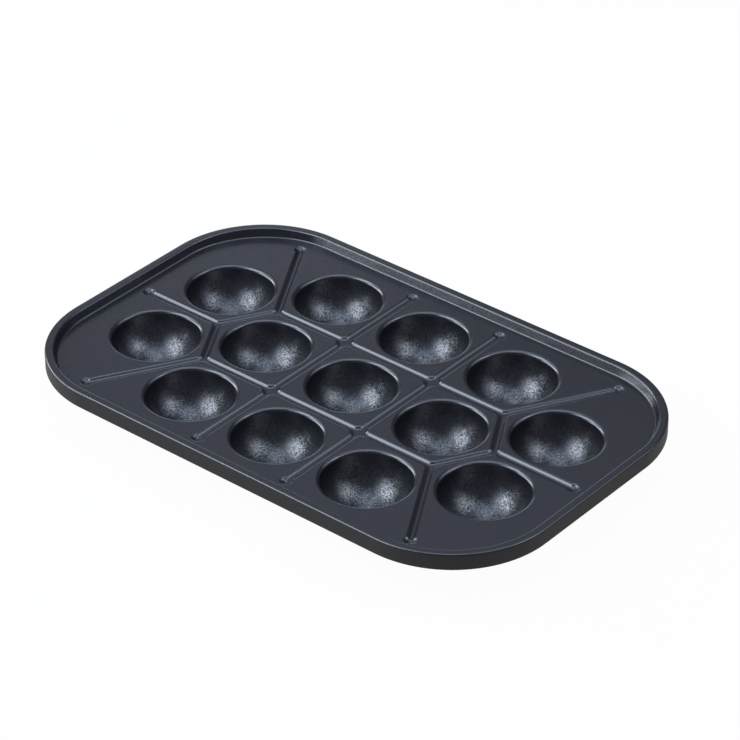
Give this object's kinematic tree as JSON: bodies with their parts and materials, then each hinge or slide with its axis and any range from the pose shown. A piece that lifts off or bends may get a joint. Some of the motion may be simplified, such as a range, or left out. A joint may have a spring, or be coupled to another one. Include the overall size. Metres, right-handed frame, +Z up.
{
  "type": "takoyaki plate",
  "caption": "Shallow round-cornered cast tray with a raised rim, hemispherical cooking cups and narrow dividing grooves, coated black.",
  "frame": {"origin": "under the middle of the plate, on the surface that its cups stand on", "axes": "+X along the plate's length, +Y across it, +Z up out of the cups"},
  "size_m": [0.266, 0.17, 0.025],
  "materials": {
    "coated_aluminium": "black non-stick coating with fine metallic flecks, satin, on die-cast aluminium"
  },
  "bodies": {
    "root": {"rim": "coated_aluminium", "deck": "coated_aluminium", "cup_01": "coated_aluminium", "cup_02": "coated_aluminium", "cup_03": "coated_aluminium", "cup_04": "coated_aluminium", "cup_05": "coated_aluminium", "cup_06": "coated_aluminium", "cup_07": "coated_aluminium", "cup_08": "coated_aluminium", "cup_09": "coated_aluminium", "cup_10": "coated_aluminium", "cup_11": "coated_aluminium", "cup_12": "coated_aluminium", "cup_13": "coated_aluminium"}
  },
  "joints": []
}
